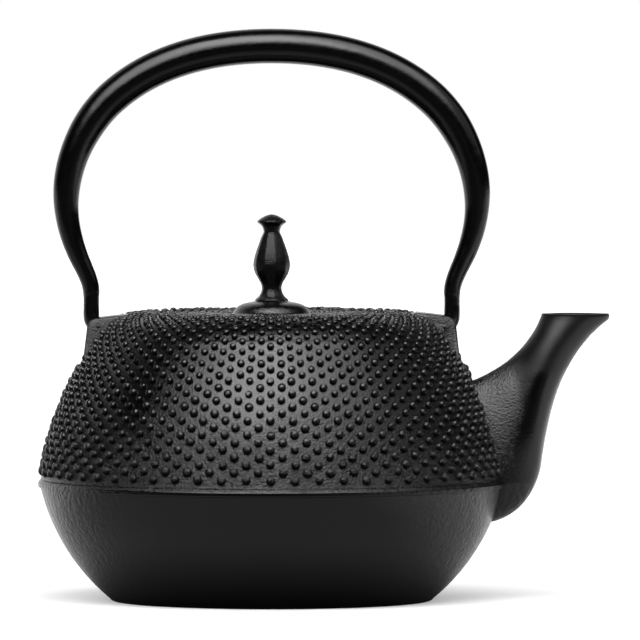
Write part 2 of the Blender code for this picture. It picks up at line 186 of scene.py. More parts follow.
class Lattice:
    """Staggered rows of diamond cells over a skin, each with a boundary that its neighbours share."""

    def __init__(self, bm, skin, count, pitch, first_row=0.0):
        self.bm = bm
        self.skin = skin
        self.count = count
        places = [0.0, first_row] if first_row else [0.0]
        while places[-1] < skin.length:
            spacing = math.tau * skin.at(places[-1])[0] / count
            places.append(places[-1] + pitch * spacing)
        if places[-1] - skin.length > skin.length - places[-2]:
            places.pop()
        stretch = skin.length / places[-1]
        self.places = [place * stretch for place in places]
        self.last = len(self.places) - 1
        self.shared = {}

    def angle(self, u):
        return math.tau * u / self.count - math.pi / 2

    def corner(self, u, v):
        """The vertex at column u and row v, made once for all the cells that meet there."""
        key = (round(u * COLUMN_PARTS) % (self.count * COLUMN_PARTS), round(v * SIDE_STEPS))
        if key not in self.shared:
            s = float(np.interp(v, range(len(self.places)), self.places))
            self.shared[key] = self.bm.verts.new(self.skin.place(self.angle(u), s))
        return self.shared[key]

    def diamond(self, u, v):
        corners = ((u + 0.5, v), (u, v + 1), (u - 0.5, v), (u, v - 1))
        boundary = []
        for i, (from_u, from_v) in enumerate(corners):
            to_u, to_v = corners[(i + 1) % len(corners)]
            for step in range(SIDE_STEPS):
                t = step / SIDE_STEPS
                boundary.append(self.corner(from_u + (to_u - from_u) * t, from_v + (to_v - from_v) * t))
        return boundary

    def circle(self, u, v, radius, lift, shift=(0.0, 0.0)):
        """A ring of vertices of that radius round a cell's centre, or round a point shifted from it."""
        s = self.places[v] + shift[1]
        r = self.skin.at(s)[0]
        sides = 4 * SIDE_STEPS
        ring = []
        for i in range(sides):
            turn = math.tau * i / sides
            angle = self.angle(u) + (shift[0] + radius * math.cos(turn)) / r
            ring.append(self.bm.verts.new(self.skin.place(angle, s + radius * math.sin(turn), lift)))
        return ring

    def half_diamond(self, u, v, upward):
        """A flat half cell that squares off the first or the last row."""
        tip = v + upward
        slant = []
        for step in range(SIDE_STEPS):
            t = step / SIDE_STEPS
            slant.append(self.corner(u + 0.5 - 0.5 * t, v + upward * t))
        for step in range(SIDE_STEPS):
            t = step / SIDE_STEPS
            slant.append(self.corner(u - 0.5 * t, tip - upward * t))
        edge = [self.corner(u - 0.5 + step / EDGE_STEPS, v) for step in range(EDGE_STEPS)]
        boundary = slant + edge
        s = float(np.interp(v + upward * 0.35, range(len(self.places)), self.places))
        centre = self.bm.verts.new(self.skin.place(self.angle(u), s))
        for i, vert in enumerate(boundary):
            after = boundary[(i + 1) % len(boundary)]
            corners = (vert, after, centre) if upward > 0 else (after, vert, centre)
            self.bm.faces.new(corners)

    def edge_ring(self, v):
        """The vertices along the first or the last row's straight edge, in order round the axis."""
        first = 0.5 * (1 - v % 2)
        return [self.corner(first + step / EDGE_STEPS, v) for step in range(EDGE_STEPS * self.count)]

    def build(self, cell):
        for v in range(1, self.last):
            for i in range(self.count):
                cell(self, i + 0.5 * ((v + 1) % 2), v)
        for i in range(self.count):
            self.half_diamond(i + 0.5, 0, 1)
            self.half_diamond(i + 0.5 * ((self.last + 1) % 2), self.last, -1)


def bridge(bm, ring, after):
    for i, vert in enumerate(ring):
        j = (i + 1) % len(ring)
        bm.faces.new((vert, ring[j], after[j], after[i]))


def circle_of(bm, like, r, z):
    """A ring with one vertex beside each of like's, on the same bearings."""
    ring = []
    for vert in like:
        bearing = math.atan2(vert.co.y, vert.co.x)
        ring.append(bm.verts.new((r * math.cos(bearing), r * math.sin(bearing), z)))
    return ring


def carried(bm, ring, line, inward):
    """Carries a skin of faces on from a ring along (radius, height) points, and returns its last ring."""
    for r, z in line:
        after = circle_of(bm, ring, r, z)
        if inward:
            bridge(bm, ring, after)
        else:
            bridge(bm, after, ring)
        ring = after
    return ring


def cap(bm, ring, z, upward):
    centre = bm.verts.new((0, 0, z))
    for i, vert in enumerate(ring):
        after = ring[(i + 1) % len(ring)]
        bm.faces.new((vert, after, centre) if upward else (after, vert, centre))


def hobnail(lattice, u, v, bare):
    """One cell with a cast dome on it, or with nothing where bare says that the casting is smooth."""
    boundary = lattice.diamond(u, v)
    r, z = lattice.skin.at(lattice.places[v])
    spacing = math.tau * r / lattice.count
    share = float(np.interp(r, CROWN_TO_WALL, (CROWN_DOT_RADIUS, DOT_RADIUS)))
    spread = float(np.interp(r, CROWN_TO_WALL, (CROWN_DOT_SPREAD, 1.0)))
    radius = spacing * share * random.uniform(1 - 0.10 * spread, 1.07)
    tall = float(np.interp(r, CROWN_TO_WALL, (CROWN_DOT_HEIGHT, DOT_HEIGHT)))
    height = min(tall * radius, MOST_DOT_HEIGHT) * random.uniform(1 - 0.14 * spread, 1 + 0.08 * spread)
    shift = (spacing * random.uniform(-0.03, 0.03), spacing * random.uniform(-0.022, 0.022))
    droop = float(np.interp(z, DROOP_HEIGHTS, (MOST_DROOP, 0.0)))
    lean = spacing * (random.uniform(0.0, 0.03) + droop)
    if bare(lattice.angle(u), r, z):
        height = 0.0
    rings = [boundary]
    for wide, rise, slide in BIG_DOT if radius > SMALL_DOT_RADIUS else SMALL_DOT:
        moved = (shift[0], shift[1] + lean * slide)
        rings.append(lattice.circle(u, v, radius * wide, height * rise, moved))
    for ring, after in zip(rings, rings[1:]):
        bridge(lattice.bm, ring, after)
    place = lattice.places[v] + shift[1] + lean
    top = lattice.bm.verts.new(lattice.skin.place(lattice.angle(u) + shift[0] / r, place, height))
    for i, vert in enumerate(rings[-1]):
        lattice.bm.faces.new((vert, rings[-1][(i + 1) % len(rings[-1])], top))


def arc_line(centre, radius, start, end, steps):
    line = []
    for step in range(steps + 1):
        angle = start + (end - start) * step / steps
        line.append((centre[0] + radius * math.cos(angle), centre[1] + radius * math.sin(angle)))
    return line


def shade(obj, sharp_degrees):
    """Smooth shading, except along edges that turn by more than this."""
    obj.data.shade_smooth()
    obj.data.set_sharp_from_angle(angle=math.radians(sharp_degrees))


def object_from(name, bm, sharp_degrees=40):
    mesh = bpy.data.meshes.new(name)
    bm.to_mesh(mesh)
    bm.free()
    obj = bpy.data.objects.new(name, mesh)
    bpy.context.scene.collection.objects.link(obj)
    shade(obj, sharp_degrees)
    return obj


def turned(name, outline, sides, closed=False, sharp_degrees=30):
    """Spins (radius, height) points about Z. An open outline starts and ends on the axis."""
    bm = bmesh.new()
    rings = []
    for r, z in outline:
        if r < 1e-6:
            rings.append([bm.verts.new((0, 0, z))])
            continue
        angles = [math.tau * i / sides - math.pi / 2 for i in range(sides)]
        rings.append([bm.verts.new((r * math.cos(a), r * math.sin(a), z)) for a in angles])
    pairs = list(zip(rings, rings[1:]))
    if closed:
        pairs.append((rings[-1], rings[0]))
    for ring, after in pairs:
        if len(ring) == 1 or len(after) == 1:
            tip, round_one = (ring[0], after) if len(ring) == 1 else (after[0], ring)
            for i, vert in enumerate(round_one):
                bm.faces.new((vert, round_one[(i + 1) % sides], tip))
        else:
            bridge(bm, ring, after)
    bmesh.ops.recalc_face_normals(bm, faces=bm.faces)
    return object_from(name, bm, sharp_degrees)


def prism(name, outline, normal_axis, start, end):
    bm = bmesh.new()
    if normal_axis == "X":
        corners = [(start, point[0], point[1]) for point in outline]
        travel = (end - start, 0, 0)
    else:
        corners = [(point[0], start, point[1]) for point in outline]
        travel = (0, end - start, 0)
    face = bm.faces.new([bm.verts.new(corner) for corner in corners])
    swept = bmesh.ops.extrude_face_region(bm, geom=[face], use_keep_orig=True)
    moved = [item for item in swept["geom"] if isinstance(item, bmesh.types.BMVert)]
    bmesh.ops.translate(bm, vec=travel, verts=moved)
    bmesh.ops.recalc_face_normals(bm, faces=bm.faces)
    return object_from(name, bm)


def rod(name, radius, start, end, sides=48):
    along = Vector(end) - Vector(start)
    bm = bmesh.new()
    bmesh.ops.create_cone(
        bm, cap_ends=True, segments=sides, radius1=radius, radius2=radius, depth=along.length
    )
    turn = along.to_track_quat("Z", "Y").to_matrix().to_4x4()
    middle = Matrix.Translation((Vector(start) + Vector(end)) / 2)
    bmesh.ops.transform(bm, matrix=middle @ turn, verts=bm.verts)
    return object_from(name, bm)


def applied(obj):
    """Makes the object's modifiers permanent."""
    graph = bpy.context.evaluated_depsgraph_get()
    mesh = bpy.data.meshes.new_from_object(obj.evaluated_get(graph))
    obj.modifiers.clear()
    obj.data = mesh


def joined(obj, steps):
    """Joins each form to obj, or cuts it away, in turn."""
    for form, operation in steps:
        modifier = obj.modifiers.new(operation, "BOOLEAN")
        modifier.operation = operation
        modifier.solver = "MANIFOLD"
        modifier.object = form
    bpy.context.view_layer.update()
    applied(obj)
    for form, _ in steps:
        bpy.data.objects.remove(form)


WAVE = 0.014
FINE_WAVE = 0.37 * WAVE
SMOOTH_SHARE = 0.3


def uneven(obj, depth, smooth_below=0.0):
    """Moves the surface a little in and out, as a sand mould leaves it, and less below smooth_below."""
    mesh = obj.data
    points = np.empty(len(mesh.vertices) * 3, np.float32)
    normals = np.empty(len(mesh.vertices) * 3, np.float32)
    mesh.vertices.foreach_get("co", points)
    mesh.vertex_normals.foreach_get("vector", normals)
    points = points.reshape(-1, 3)
    moves = []
    for point in points:
        place = Vector(point)
        moves.append(noise.noise(place / WAVE) + 0.5 * noise.noise(place / FINE_WAVE))
    depths = np.where(points[:, 2:] < smooth_below, depth * SMOOTH_SHARE, depth)
    points += normals.reshape(-1, 3) * np.array(moves, np.float32)[:, None] * depths
    mesh.vertices.foreach_set("co", points.ravel())
    mesh.update()


def placed(obj, material, node, body):
    """Gives a finished piece its material, and puts it in a node's place on a body."""
    obj.data.materials.clear()
    obj.data.materials.append(material)
    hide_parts(node)
    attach(obj, body)


# ---- materials ----

def grey(value):
    return (value, value, value)


class Nodes:
    """Builds a material's node tree with one short call for each node."""

    def __init__(self, name):
        self.material = bpy.data.materials.new(name)
        self.material.use_nodes = True
        self.tree = self.material.node_tree
        self.shader = self.tree.nodes["Principled BSDF"]
        self.coordinates = self.tree.nodes.new("ShaderNodeTexCoord")
        self.place = self.coordinates.outputs["Object"]

    def link(self, value, socket):
        if isinstance(value, bpy.types.NodeSocket):
            self.tree.links.new(value, socket)
        else:
            socket.default_value = value

    def set(self, **inputs):
        """Sets the shader's inputs, with an underscore for each space in an input's name."""
        for name, value in inputs.items():
            self.link(value, self.shader.inputs[name.replace("_", " ")])

    def noise(self, size, detail=2.0, roughness=0.5, stretch=(1, 1, 1)):
        """Noise whose features are about size metres across."""
        mapping = self.tree.nodes.new("ShaderNodeMapping")
        mapping.inputs["Scale"].default_value = stretch
        self.link(self.place, mapping.inputs["Vector"])
        texture = self.tree.nodes.new("ShaderNodeTexNoise")
        texture.inputs["Scale"].default_value = 1 / size
        texture.inputs["Detail"].default_value = detail
        texture.inputs["Roughness"].default_value = roughness
        self.link(mapping.outputs["Vector"], texture.inputs["Vector"])
        return texture.outputs["Fac"]

    def ramp(self, value, low, high, out_low, out_high, smooth=False):
        node = self.tree.nodes.new("ShaderNodeMapRange")
        node.interpolation_type = "SMOOTHSTEP" if smooth else "LINEAR"
        names = ("Value", "From Min", "From Max", "To Min", "To Max")
        for name, item in zip(names, (value, low, high, out_low, out_high)):
            self.link(item, node.inputs[name])
        return node.outputs["Result"]

    def math(self, operation, *values):
        node = self.tree.nodes.new("ShaderNodeMath")
        node.operation = operation
        for value, socket in zip(values, node.inputs):
            self.link(value, socket)
        return node.outputs["Value"]

    def product(self, first, *others):
        for other in others:
            first = self.math("MULTIPLY", first, other)
        return first

    def axis(self, name, vector=None):
        """One coordinate of the place on the object, or of another vector."""
        node = self.tree.nodes.new("ShaderNodeSeparateXYZ")
        self.link(self.place if vector is None else vector, node.inputs["Vector"])
        return node.outputs[name]

    def off_middle(self, name):
        return self.math("ABSOLUTE", self.axis(name))

    def bump(self, height, distance, strength=1.0, under=None):
        node = self.tree.nodes.new("ShaderNodeBump")
        self.link(height, node.inputs["Height"])
        self.link(distance, node.inputs["Distance"])
        self.link(strength, node.inputs["Strength"])
        if under is not None:
            self.link(under, node.inputs["Normal"])
        return node.outputs["Normal"]

    def colour_mix(self, factor, dark, light):
        node = self.tree.nodes.new("ShaderNodeMix")
        node.data_type = "RGBA"
        self.link(factor, node.inputs["Factor"])
        colours = [socket for socket in node.inputs if socket.type == "RGBA"]
        self.link((*dark, 1), colours[0])
        self.link((*light, 1), colours[1])
        return next(socket for socket in node.outputs if socket.type == "RGBA")


# Where the casting's finish changes, each from one coordinate to another, and the tilt by its normal's Z
# below which painted shade dims the undersides
GRAIN_STARTS_Z = (FLANGE_TOP - 0.0016, FLANGE_TOP - 0.0010)
GRAIN_FADES_Z = (0.050, 0.082)
SPOUT_STARTS_X = (0.086, 0.102)
ROUGHER_SIDE_X = (0.020, 0.070)
HAMMERED_SIDE_X = (0.035, 0.080)
LUG_STARTS_X = (0.057, 0.061)
LUG_STARTS_Z = (0.086, 0.090)
LUG_ENDS_Y = (0.0142, 0.0156)
PAINTED_SHADE_TILT = (-0.40, 0.14)


def cast_iron_material():
    """Black lacquer: over sand grain on the wall, finer on the spout and crown, and smooth on the bowl;
    painted shade on the dots' undersides.
    """
    n = Nodes("cast_iron_lacquered")
    height = n.axis("Z")
    above = n.ramp(height, *GRAIN_STARTS_Z, 0.0, 1.0)
    below = n.math("SUBTRACT", 1.0, above)
    fading = n.ramp(height, *GRAIN_FADES_Z, 1.0, 0.30, True)
    spout = n.ramp(n.axis("X"), *SPOUT_STARTS_X, 0.0, 1.0, True)
    not_spout = n.math("SUBTRACT", 1.0, spout)
    rough_side = n.product(n.ramp(n.axis("X"), *ROUGHER_SIDE_X, 0.0, 0.55, True), not_spout)
    coarse = n.noise(0.00085, 2.0, 0.6)
    fine = n.noise(0.00045, 1.0, 0.5)
    grain = n.math("ADD", coarse, n.product(fine, 0.6))
    patch = n.ramp(n.noise(0.012, 2.0, 0.5), 0.35, 0.65, 0.70, 1.0, True)
    body = n.product(above, fading, n.ramp(spout, 0.0, 1.0, 1.0, 0.15))
    sandy = n.product(n.math("MAXIMUM", body, rough_side), patch)
    amount = n.math("ADD", n.product(sandy, 0.90), 0.02)
    side = n.ramp(n.off_middle("X"), *HAMMERED_SIDE_X, 0.0, 1.0, True)
    hammered = n.noise(0.0022, 3.0, 0.6)
    normal = n.bump(hammered, 0.0008, n.product(side, below, 0.75))
    normal = n.bump(grain, 0.00062, amount, normal)
    past_crown = n.ramp(n.off_middle("X"), *LUG_STARTS_X, 0.0, 1.0)
    high_enough = n.ramp(height, *LUG_STARTS_Z, 0.0, 1.0)
    rougher_lug = n.product(past_crown, high_enough, n.ramp(n.off_middle("Y"), *LUG_ENDS_Y, 0.20, 0.0))
    tilt = n.axis("Z", n.coordinates.outputs["Normal"])
    # Painted shade: less reflection on surfaces that face down, the undersides of the dots above the
    # flange, away from the spout.
    painted_underside_shade = n.product(n.ramp(tilt, *PAINTED_SHADE_TILT, 0.85, 0.0, True), n.product(above, not_spout))
    n.set(
        Base_Color=n.colour_mix(n.noise(0.02, 4.0, 0.6), grey(0.0010), (0.0022, 0.0022, 0.0021)),
        Roughness=n.math("ADD", n.ramp(n.noise(0.006, 3.0), 0.3, 0.7, 0.12, 0.18), rougher_lug),
        Specular_IOR_Level=n.product(n.math("SUBTRACT", 1.0, painted_underside_shade), 0.55),
        Normal=normal,
    )
    return n.material


def bar_material():
    n = Nodes("bar_lacquered")
    hammer = n.noise(0.011, 2.0, 0.5)
    grain = n.noise(0.0007, 3.0, 0.6)
    normal = n.bump(hammer, 0.0010, 0.22)
    normal = n.bump(grain, 0.00006, 0.5, normal)
    n.set(
        Base_Color=n.colour_mix(n.noise(0.015, 3.0), grey(0.0008), grey(0.0016)),
        Roughness=n.ramp(n.noise(0.004, 3.0), 0.3, 0.7, 0.15, 0.21),
        Specular_IOR_Level=0.5,
        Normal=normal,
    )
    return n.material


def knob_material():
    n = Nodes("knob_lacquered")
    grain = n.noise(0.0006, 2.0, 0.6)
    normal = n.bump(grain, 0.00030, 0.7)
    n.set(
        Base_Color=n.colour_mix(n.noise(0.006, 3.0), grey(0.0010), grey(0.0020)),
        Roughness=n.ramp(n.noise(0.003, 3.0), 0.3, 0.7, 0.20, 0.28),
        Specular_IOR_Level=0.30,
        Normal=normal,
    )
    return n.material


def steel_material(name, dark, light, rough_low, rough_high):
    n = Nodes(name)
    brushed = n.noise(0.0016, 3.0, 0.6, (1, 1, 14))
    n.set(
        Base_Color=n.colour_mix(n.noise(0.008, 3.0), dark, light),
        Roughness=n.ramp(brushed, 0.3, 0.7, rough_low, rough_high),
        Metallic=1.0,
        Normal=n.bump(brushed, 0.00003, 0.35),
    )
    return n.material


# ---- pot casting ----

def wall_line():
    """The upper wall, the shoulder's fillet and the crown, from above the flange to the mouth."""
    steps = 30
    start = math.asin((WALL_FOOT_HEIGHT - WALL_CENTRE[1]) / WALL_RADIUS)
    wall = arc_line(WALL_CENTRE, WALL_RADIUS, start, SHOULDER_START, 40)
    fillet = arc_line(SHOULDER_CENTRE, SHOULDER_RADIUS, SHOULDER_START, SHOULDER_END, steps)
    shoulder = [(r, z - CROWN_SAG * (i / steps) ** 2) for i, (r, z) in enumerate(fillet)][1:]
    return wall + shoulder + list(CROWN_EDGE)


def bowl_line():
    """The bowl from the base edge up, then the flange: its rounded face, a chamfer, a groove and a bead."""
    low = math.asin((BASE_EDGE_HEIGHT - BOWL_CENTRE[1]) / BOWL_RADIUS)
    high = math.asin((BOWL_TOP_HEIGHT - BOWL_CENTRE[1]) / BOWL_RADIUS)
    bowl = arc_line(BOWL_CENTRE, BOWL_RADIUS, low, high, 14)
    flange = [
        (FLANGE_RADIUS - 0.00060, 0.04385),
        (FLANGE_RADIUS - 0.00018, 0.04395),
        (FLANGE_RADIUS, 0.0442),
        (FLANGE_RADIUS, 0.0444),
        (FLANGE_RADIUS, FLANGE_TOP - 0.0016),
        (FLANGE_RADIUS, FLANGE_TOP - 0.0014),
        (FLANGE_RADIUS - 0.00014, FLANGE_TOP - 0.0012),
        (FLANGE_RADIUS - 0.00052, FLANGE_TOP - 0.00040),
        (FLANGE_RADIUS - 0.00066, FLANGE_TOP - 0.00022),
        (FLANGE_RADIUS - 0.00092, FLANGE_TOP - 0.00012),
        (FLANGE_RADIUS - 0.00104, FLANGE_TOP + 0.00006),
        (FLANGE_RADIUS - 0.00092, FLANGE_TOP + 0.00018),
        (FLANGE_RADIUS - 0.00098, FLANGE_TOP + 0.00040),
        (FLANGE_RADIUS - 0.00108, FLANGE_TOP + 0.00070),
    ]
    return bowl + flange


def spout_half_width(share):
    return SPOUT_ROOT_HALF_WIDTH + (SPOUT_MOUTH_HALF_WIDTH - SPOUT_ROOT_HALF_WIDTH) * share


# Where the hobnails stop beside a lug, as least |X|, most |Y| and least Z, and beside the spout's root
BARE_LUG = (0.048, LUG_HALF_WIDTH + 0.0012, 0.0915)
BARE_SPOUT_TOP = 0.0875
BARE_SPOUT_MARGIN = 0.0030
SPOUT_ROOT_WIDEST = 0.056
SPOUT_ROOT_RISE = 0.0305


def bare_on_pot(angle, r, z):
    """True where the casting has no hobnails: beside the lugs and the spout."""
    x = r * math.cos(angle)
    y = abs(r * math.sin(angle))
    if abs(x) > BARE_LUG[0] and y < BARE_LUG[1] and z > BARE_LUG[2]:
        return True
    rise = max(0.0, z - SPOUT_ROOT_WIDEST) / SPOUT_ROOT_RISE
    reach = SPOUT_ROOT_HALF_WIDTH * math.sqrt(max(0.0, 1 - rise**2))
    return x > 0 and z < BARE_SPOUT_TOP and y < reach + BARE_SPOUT_MARGIN


def build_pot_solid():
    """The casting's outside, solid up to the seat in its mouth."""
    bm = bmesh.new()
    lattice = Lattice(bm, Skin(wall_line()), POT_DOTS, ROW_PITCH, FIRST_ROW_RISE)
    lattice.build(lambda cells, u, v: hobnail(cells, u, v, bare_on_pot))
    base_edge = [(BASE_RADIUS + 0.0008, 0.0003), (BASE_RADIUS, 0.0)]
    foot = carried(bm, lattice.edge_ring(0), bowl_line()[::-1] + base_edge, False)
    cap(bm, foot, 0.0, False)
    mouth = [
        (MOUTH_RADIUS + 0.0002, MOUTH_HEIGHT),
        (MOUTH_RADIUS, MOUTH_HEIGHT - 0.0003),
        (MOUTH_RADIUS, SEAT_HEIGHT),
    ]
    seat = carried(bm, lattice.edge_ring(lattice.last), mouth, True)
    cap(bm, seat, SEAT_HEIGHT, True)
    return object_from("pot_hobnailed", bm)


def cavity_form():
    """The hollow of the pot, from its floor up through the throat and past the seat."""
    line = [(0, POT_FLOOR), (BASE_RADIUS - 0.005, POT_FLOOR), (BASE_RADIUS - 0.001, POT_FLOOR + 0.0012)]
    low = math.asin((POT_FLOOR + 0.0036 - BOWL_CENTRE[1]) / BOWL_RADIUS)
    high = math.asin((BOWL_TOP_HEIGHT - BOWL_CENTRE[1]) / BOWL_RADIUS)
    line += arc_line(BOWL_CENTRE, BOWL_RADIUS - POT_WALL, low, high, 20)
    start = math.asin((WALL_FOOT_HEIGHT + 0.001 - WALL_CENTRE[1]) / WALL_RADIUS)
    line += arc_line(WALL_CENTRE, WALL_RADIUS - POT_WALL, start, SHOULDER_START, 20)
    line += arc_line(SHOULDER_CENTRE, SHOULDER_RADIUS - POT_WALL, SHOULDER_START, math.radians(88), 12)[1:]
    outer = THROAT_RADIUS + THROAT_THICKNESS
    line += [
        (outer + 0.0008, THROAT_BOTTOM + 0.0012),
        (outer, THROAT_BOTTOM + 0.0002),
        (outer - 0.0006, THROAT_BOTTOM),
        (THROAT_RADIUS + 0.0006, THROAT_BOTTOM),
        (THROAT_RADIUS, THROAT_BOTTOM + 0.0006),
        (THROAT_RADIUS, SEAT_HEIGHT - 0.0004),
        (THROAT_RADIUS + 0.0004, SEAT_HEIGHT + 0.0001),
        (THROAT_RADIUS + 0.0004, SEAT_HEIGHT + 0.002),
        (0, SEAT_HEIGHT + 0.002),
    ]
    return turned("cavity_form", line, 96)


def spout_form(name, wall):
    """The spout as a loft of egg-shaped sections, or with a wall, the passage inside it."""
    stations = 30
    sides = 72
    belly = interpolate_bezier(*map(Vector, SPOUT_BELLY), stations // 2)
    lower = belly + interpolate_bezier(*map(Vector, SPOUT_NECK), stations // 2 + 1)[1:]
    upper = interpolate_bezier(*map(Vector, SPOUT_UPPER), len(lower))
    pairs = [(low, high, i / (len(lower) - 1)) for i, (low, high) in enumerate(zip(lower, upper))]
    rim = Vector((SPOUT_UPPER[-1][0], SPOUT_MOUTH_HEIGHT))
    pairs.append((Vector(SPOUT_LIP), (Vector(upper[-1]) + rim) / 2, 1.0))
    lip = (Vector((SPOUT_NECK[-1][0] + 0.0001, SPOUT_MOUTH_HEIGHT)), rim, 1.0)
    pairs.append(lip)
    if wall:
        past = Vector(PASSAGE_OVERRUN)
        pairs.append((lip[0] + past, lip[1] + past, 1.0))
    bm = bmesh.new()
    rings = []
    for low, high, share in pairs:
        centre = (low + high) / 2
        reach = (high - low) / 2
        reach = reach.normalized() * (reach.length - wall)
        width = spout_half_width(share) - wall
        ring = []
        for side in range(sides):
            angle = math.tau * side / sides
            egg = 1 - (SPOUT_EGG + (SPOUT_MOUTH_EGG - SPOUT_EGG) * share) * math.cos(angle)
            x, z = centre + reach * math.cos(angle)
            ring.append(bm.verts.new((x, width * egg * math.sin(angle), z)))
        rings.append(ring)
    for ring, after in zip(rings, rings[1:]):
        bridge(bm, ring, after)
    bm.faces.new(rings[0])
    bm.faces.new(rings[-1])
    bmesh.ops.recalc_face_normals(bm, faces=bm.faces)
    return object_from(name, bm)


def lug_form(side, top):
    """One lug block, seen along Y, with a small cast nub on each cheek."""
    centre = (LUG_OUTER_TOP - LUG_CORNER_RADIUS, top - LUG_CORNER_RADIUS)
    corner = arc_line(centre, LUG_CORNER_RADIUS, math.radians(2), math.radians(96), 12)
    buried = [(LUG_SHOULDER[0], top + LUG_SHOULDER[1]), (LUG_ROOT[0], top), LUG_ROOT]
    outline = [(side * x, z) for x, z in [LUG_OUTER_FOOT, *corner, *buried]]
    lug = prism(f"lug_form_{side}", outline, "Y", -LUG_HALF_WIDTH, LUG_HALF_WIDTH)
    for vert in lug.data.vertices:
        vert.co.y *= 1 + LUG_DRAFT * (top - vert.co.z) / LUG_HALF_WIDTH
    bevel = lug.modifiers.new("rounded edges", "BEVEL")
    bevel.width = LUG_EDGE
    bevel.segments = 3
    bevel.limit_method = "ANGLE"
    bevel.angle_limit = math.radians(50)
    applied(lug)
    nubs = []
    for cheek in (-1, 1):
        at = (side * NUB_X, cheek * (LUG_HALF_WIDTH + NUB_STANDOFF), PIVOT_HEIGHT + NUB_RISE)
        bm = bmesh.new()
        bmesh.ops.create_icosphere(bm, subdivisions=3, radius=NUB_RADIUS)
        flattened = Matrix.Diagonal((1, 0.7, 1, 1))
        bmesh.ops.transform(bm, matrix=Matrix.Translation(at) @ flattened, verts=bm.verts)
        nubs.append((object_from(f"nub_{side}_{cheek}", bm), "UNION"))
    joined(lug, nubs)
    return lug


def pocket_form(side):
    """The pocket in a lug's outer face that takes the bail's leg: round below and open above."""
    outline = arc_line((0, PIVOT_HEIGHT), POCKET_FLOOR_RADIUS, math.pi, math.tau, 16)
    mouth = PIVOT_HEIGHT + POCKET_FLARE_HEIGHT
    outline += [(POCKET_MOUTH_HALF_WIDTH, mouth), (-POCKET_MOUTH_HALF_WIDTH, mouth)]
    return prism(f"pocket_{side}", outline, "X", side * POCKET_INNER, side * (LUG_OUTER_FOOT[0] + 0.004))


def pivot_rod(name, side, radius, inner, outer):
    """A rod along the handle's axis at one lug."""
    return rod(name, radius, (side * inner, 0, PIVOT_HEIGHT), (side * outer, 0, PIVOT_HEIGHT))


def build_pot(material):
    pot = build_pot_solid()
    steps = [
        (spout_form("spout_form", 0.0), "UNION"),
        (lug_form(-1, REAR_LUG_TOP), "UNION"),
        (lug_form(1, FRONT_LUG_TOP), "UNION"),
        (cavity_form(), "DIFFERENCE"),
    ]
    for side in (-1, 1):
        boss = pivot_rod(f"boss_{side}", side, BORE_BOSS_RADIUS, BORE_BOSS_INNER, BORE_BOSS_OUTER)
        steps.append((boss, "UNION"))
    steps.append((spout_form("passage_form", SPOUT_WALL), "DIFFERENCE"))
    for side in (-1, 1):
        bore = pivot_rod(f"bore_{side}", side, BORE_RADIUS, BORE_END, POCKET_INNER + 0.001)
        steps += [(pocket_form(side), "DIFFERENCE"), (bore, "DIFFERENCE")]
    joined(pot, steps)
    uneven(pot, 0.00015, FLANGE_TOP)
    shade(pot, 42)
    placed(pot, material, "pot_casting", "pot")


# ---- handle ----

BOW_RADIUS = 0.0067
BOW_TOP = HANDLE_HIGH[2] - BOW_RADIUS
LEG_X = 0.0696
HOOK_BEND = 0.0042
HOOK_END = 0.0618
# A Bezier handle of this share of the radius makes a quarter circle.
QUARTER_CIRCLE_REACH = 0.5523


def handle_anchors():
    """Half the bail, from hook end to top: point, direction, reach before and after it, and radius."""
    bend = HOOK_BEND * QUARTER_CIRCLE_REACH
    inward = (1.0, 0.0)
    upward = (0.0, 1.0)
    return [
        ((HOOK_END, PIVOT_HEIGHT), inward, 0.001, 0.001, 0.0024),
        ((LEG_X - HOOK_BEND, PIVOT_HEIGHT), inward, 0.001, bend, 0.0025),
        ((LEG_X, PIVOT_HEIGHT + HOOK_BEND), upward, bend, 0.002, 0.0030),
        ((LEG_X, 0.1150), upward, 0.002, 0.0015, 0.00298),
        ((LEG_X, 0.1185), upward, 0.0012, 0.0048, 0.00315),
        ((0.0746, 0.1330), (0.39, 0.92), 0.0055, 0.0074, 0.0038),
        ((0.0793, 0.1545), upward, 0.0074, 0.0079, 0.00488),
        ((0.0738, 0.1775), (-0.44, 0.90), 0.0079, 0.0070, 0.0060),
        ((0.0615, 0.1941), (-0.744, 0.668), 0.0070, 0.0205, 0.0066),
        ((0, BOW_TOP), (-1.0, 0.0), 0.0250, 0.0250, BOW_RADIUS),
    ]


def build_handle(material):
    half = handle_anchors()
    other_half = [
        ((-point[0], point[1]), (direction[0], -direction[1]), after, before, radius)
        for point, direction, before, after, radius in half[-2::-1]
    ]
    anchors = half + other_half
    curve = bpy.data.curves.new("bail_bar", "CURVE")
    curve.dimensions = "3D"
    curve.resolution_u = 20
    curve.bevel_depth = 1.0
    curve.bevel_resolution = 8
    curve.use_fill_caps = True
    spline = curve.splines.new("BEZIER")
    spline.bezier_points.add(len(anchors) - 1)
    spline.radius_interpolation = "CARDINAL"
    for anchor, (point, direction, before, after, radius) in zip(spline.bezier_points, anchors):
        centre = Vector((point[0], 0, point[1]))
        travel = Vector((direction[0], 0, direction[1])).normalized()
        anchor.handle_left_type = "FREE"
        anchor.handle_right_type = "FREE"
        anchor.co = centre
        anchor.handle_left = centre - travel * before
        anchor.handle_right = centre + travel * after
        anchor.radius = radius
    handle = bpy.data.objects.new("bail_bar", curve)
    bpy.context.scene.collection.objects.link(handle)
    placed(handle, material, "handle", "bail")


# ---- lid, knob and rivet ----

LID_RADIUS = LID_HIGH[0]
BOSS_FOOT_RADIUS = 0.0158
BOSS_TOP = LID_HIGH[2]
